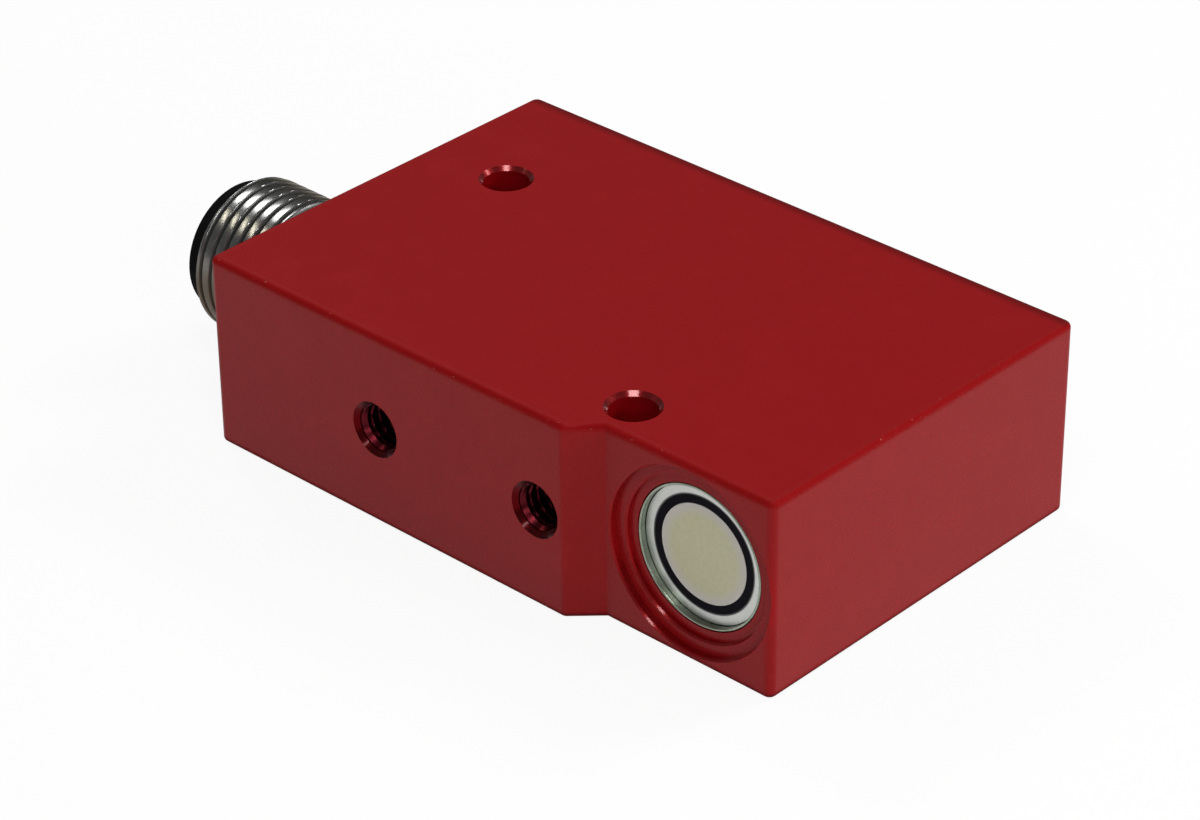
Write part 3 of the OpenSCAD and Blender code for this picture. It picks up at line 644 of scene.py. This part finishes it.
def closeTurned(mesh, outline, stepsRound, place, mouthEnd=0.0):
    work = bmesh.new()
    work.from_mesh(mesh)
    angles = [2 * math.pi * k / stepsRound for k in range(stepsRound)]
    rings = [[work.verts.new((radius * math.cos(a), radius * math.sin(a), along)) for a in angles]
             for radius, along in outline]
    for ringA, ringB in zip(rings, rings[1:]):
        for k in range(stepsRound):
            after = (k + 1) % stepsRound
            work.faces.new((ringA[k], ringA[after], ringB[after], ringB[k]))
    bmesh.ops.remove_doubles(work, verts=work.verts, dist=turning["merge"])
    bmesh.ops.recalc_face_normals(work, faces=work.faces)
    for face in work.faces:
        face.smooth = True
    for edge in work.edges:
        atMouth = max(corner.co.z for corner in edge.verts) < mouthEnd
        sharp = turning["mouthAngle" if atMouth else "sharpAngle"]
        edge.smooth = edge.calc_face_angle(0.0) < math.radians(sharp)
    bmesh.ops.transform(work, matrix=place, verts=work.verts)
    work.to_mesh(mesh)
    work.free()


# Threaded shell of the plug, in millimetres. Lengths run from its open end to its seat
plugShell = {
    "crest": 5.9, "root": 5.4, "pitch": 1.0, "groove": 0.42, "steps": 144, "rowsPerTurn": 32,
    "mouth": 5.1, "mouthEnd": 1.1, "chamfer": 0.8, "threadEnd": 7.2, "neck": 5.4, "neckEnd": 8.9,
    "flange": 6.4, "flangeEnd": 9.8, "seat": 5.4, "seatEnd": 15.4, "bore": 4.85, "lip": 0.12,
}
shellLow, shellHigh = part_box("connector_shell")
plugPlace = Matrix.Translation((shellLow.x, plugAxis.y, plugAxis.z)) @ rotation(90, "Y")
shellSkin = threadMesh("plugShell", {
    "Crest Radius": plugShell["crest"] * mm, "Root Radius": plugShell["root"] * mm,
    "Pitch": plugShell["pitch"] * mm, "Length": plugShell["threadEnd"] * mm,
    "Start Radius": plugShell["mouth"] * mm, "End Radius": plugShell["neck"] * mm,
    "Run Out": plugShell["chamfer"] * mm, "Groove Share": plugShell["groove"],
    "Steps Round": plugShell["steps"] + 1,
    "Rows": int(plugShell["rowsPerTurn"] * plugShell["threadEnd"] / plugShell["pitch"]) + 1,
    "Inside": False, "Finish": nickelMaterial,
})
lip, bore, seat = plugShell["lip"], plugShell["bore"], plugShell["seat"]
shellRest = [
    (plugShell["mouth"], 0.0), (bore + lip, 0.0), (bore, lip), (bore, plugShell["seatEnd"]),
    (seat - lip, plugShell["seatEnd"]), (seat, plugShell["seatEnd"] - lip),
    (seat, plugShell["flangeEnd"]), (plugShell["flange"], plugShell["flangeEnd"]),
    (plugShell["flange"], plugShell["neckEnd"]), (plugShell["neck"], plugShell["neckEnd"]),
    (plugShell["neck"], plugShell["threadEnd"]),
]
closeTurned(shellSkin, [(radius * mm, along * mm) for radius, along in shellRest],
            plugShell["steps"], plugPlace, plugShell["mouthEnd"] * mm)
putPiece("plugShell", shellSkin, nickelMaterial, "connector_shell")
print("plug shell made:", len(shellSkin.polygons), "faces")

# Threads in the two side holes, in millimetres, each a thin lining on the hole's wall
sideThread = {
    "wall": 1.772, "root": 1.74, "crest": 1.50, "pitch": 0.7, "length": 5.2, "start": 0.42,
    "runOut": 0.35, "steps": 64, "rowsPerTurn": 12, "height": 7.5, "places": {"A": -4.0, "B": 11.0},
}
length, root, wall = sideThread["length"], sideThread["root"], sideThread["wall"]
for letter, x in sideThread["places"].items():
    lining = threadMesh("sideThread", {
        "Crest Radius": sideThread["crest"] * mm, "Root Radius": root * mm,
        "Pitch": sideThread["pitch"] * mm, "Length": length * mm,
        "Start Radius": root * mm, "End Radius": root * mm, "Run Out": sideThread["runOut"] * mm,
        "Steps Round": sideThread["steps"] + 1,
        "Rows": int(sideThread["rowsPerTurn"] * length / sideThread["pitch"]) + 1,
        "Inside": True, "Finish": threadMaterial,
    })
    front = blockLow.y + sideThread["start"] * mm
    place = Matrix.Translation((x * mm, front, sideThread["height"] * mm)) @ rotation(-90, "X")
    rest = [(root, 0.0), (wall, 0.0), (wall, length), (root, length)]
    closeTurned(lining, [(radius * mm, along * mm) for radius, along in rest], sideThread["steps"], place)
    putPiece("sideThread" + letter, lining, threadMaterial)
print("side threads made:", len(sideThread["places"]))

# Floor, white for the camera and for reflections, with the block's shadow on it.
# The world is white for the camera, and plain grey light for everything else
stageLook = {"floorSize": 3.0, "below": 0.01 * mm, "floorTone": (0.90, 0.90, 0.90), "glow": 0.90, "sky": 0.14}
half = stageLook["floorSize"] / 2
floorMesh = bpy.data.meshes.new("floor")
corners = [(x * half, y * half, -stageLook["below"]) for x, y in ((-1, -1), (1, -1), (1, 1), (-1, 1))]
floorMesh.from_pydata(corners, [], [(0, 1, 2, 3)])
floor = addObject("floor", floorMesh)
floorMaterial = bpy.data.materials.new("floor")
floorMaterial.use_nodes = True
floorMaterial.node_tree.nodes.clear()
bench = Bench(floorMaterial.node_tree)
path = bench.node("ShaderNodeLightPath")
seen = path.out("Is Camera Ray").high(path.out("Is Glossy Ray")).high(path.out("Is Transmission Ray"))
paper = bench.node("ShaderNodeBsdfDiffuse", {"Color": stageLook["floorTone"]})
light = bench.node("ShaderNodeEmission", {"Color": white, "Strength": 1.0})
both = bench.node("ShaderNodeMixShader", {0: seen * stageLook["glow"], 1: paper, 2: light})
bench.end("ShaderNodeOutputMaterial", "Surface", both)
floorMesh.materials.append(floorMaterial)

world = bpy.data.worlds.new("studio")
bpy.context.scene.world = world
world.use_nodes = True
world.node_tree.nodes.clear()
bench = Bench(world.node_tree)
path = bench.node("ShaderNodeLightPath")
strength = stageLook["sky"] + (1.0 - stageLook["sky"]) * path.out("Is Camera Ray")
sky = bench.node("ShaderNodeBackground", {"Color": white, "Strength": strength})
bench.end("ShaderNodeOutputWorld", "Surface", sky)

# Soft lamps round the object: heading and height in degrees, size in metres, power in watts
lamps = {
    "rearLeft": {"heading": 162, "height": 49, "size": (0.17, 0.17), "power": 0.5},
    "frontLeft": {"heading": -157, "height": 43, "size": (0.17, 0.035), "power": 0.12,
                  "tint": (1.0, 0.92, 0.74)},
    "rearRight": {"heading": 66, "height": 46, "size": (0.16, 0.16), "power": 1.0},
    "right": {"heading": 15, "height": 15, "size": (0.20, 0.20), "power": 0.72},
    "frontRight": {"heading": -30, "height": 25, "size": (0.15, 0.15), "power": 0.32},
    "lowFront": {"heading": -79, "height": 38, "size": (0.06, 0.06), "power": 0.1},
    "overCamera": {"heading": -47, "height": 60.5, "size": (0.24, 0.09), "power": 0.75},
}
lampDistance = 0.5
for name, lamp in lamps.items():
    data = bpy.data.lights.new(name, "AREA")
    data.shape = "ELLIPSE"
    data.size, data.size_y = lamp["size"]
    data.energy = lamp["power"]
    data.color = lamp.get("tint", white)
    heading, height = math.radians(lamp["heading"]), math.radians(lamp["height"])
    away = Vector((math.cos(height) * math.cos(heading),
                   math.cos(height) * math.sin(heading), math.sin(height)))
    holder = addObject(name, data)
    holder.location = away * lampDistance
    holder.rotation_euler = away.to_track_quat("Z", "Y").to_euler()
print("stage and lamps set")

bpy.context.scene.view_settings.view_transform = "Standard"
